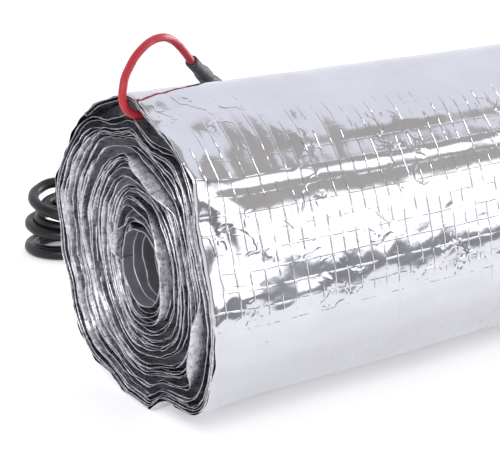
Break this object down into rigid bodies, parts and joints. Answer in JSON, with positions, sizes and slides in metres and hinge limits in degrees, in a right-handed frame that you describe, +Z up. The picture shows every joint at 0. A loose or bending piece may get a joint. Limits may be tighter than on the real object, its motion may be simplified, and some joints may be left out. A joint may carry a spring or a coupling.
{
  "type": "rolled underfloor heating mat",
  "caption": "Rolled foil underfloor heating mat: wound silver foil with a round bore, a red heating cable looping out of its outer turn, and a black cold lead in a hank.",
  "frame": {"origin": "on the floor, under the middle of the roll", "axes": "+X along the roll's axis, away from the end where the heating cable comes out; +Y towards the hank of cold lead; +Z up"},
  "size_m": [0.5063, 0.357, 0.1885],
  "materials": {
    "foil": "crinkled bright aluminium foil over a woven scrim",
    "heating_cable": "extruded red fluoropolymer sheath, satin gloss",
    "shrink_sleeve": "heat-shrunk polyolefin, satin",
    "cold_lead": "extruded black PVC sheath, satin gloss",
    "tie": "moulded black nylon",
    "core_brown": "brown PVC core insulation",
    "core_blue": "blue PVC core insulation",
    "core_earth": "green and yellow PVC core insulation"
  },
  "bodies": {
    "root": {"foil_mat_roll": "foil", "heating_cable": "heating_cable", "splice_sleeve": "shrink_sleeve", "cold_lead": "cold_lead", "cold_lead_hank": "cold_lead", "cold_lead_tail": "cold_lead", "hank_tie": "tie", "core_brown": "core_brown", "core_blue": "core_blue", "core_earth": "core_earth"}
  },
  "joints": []
}
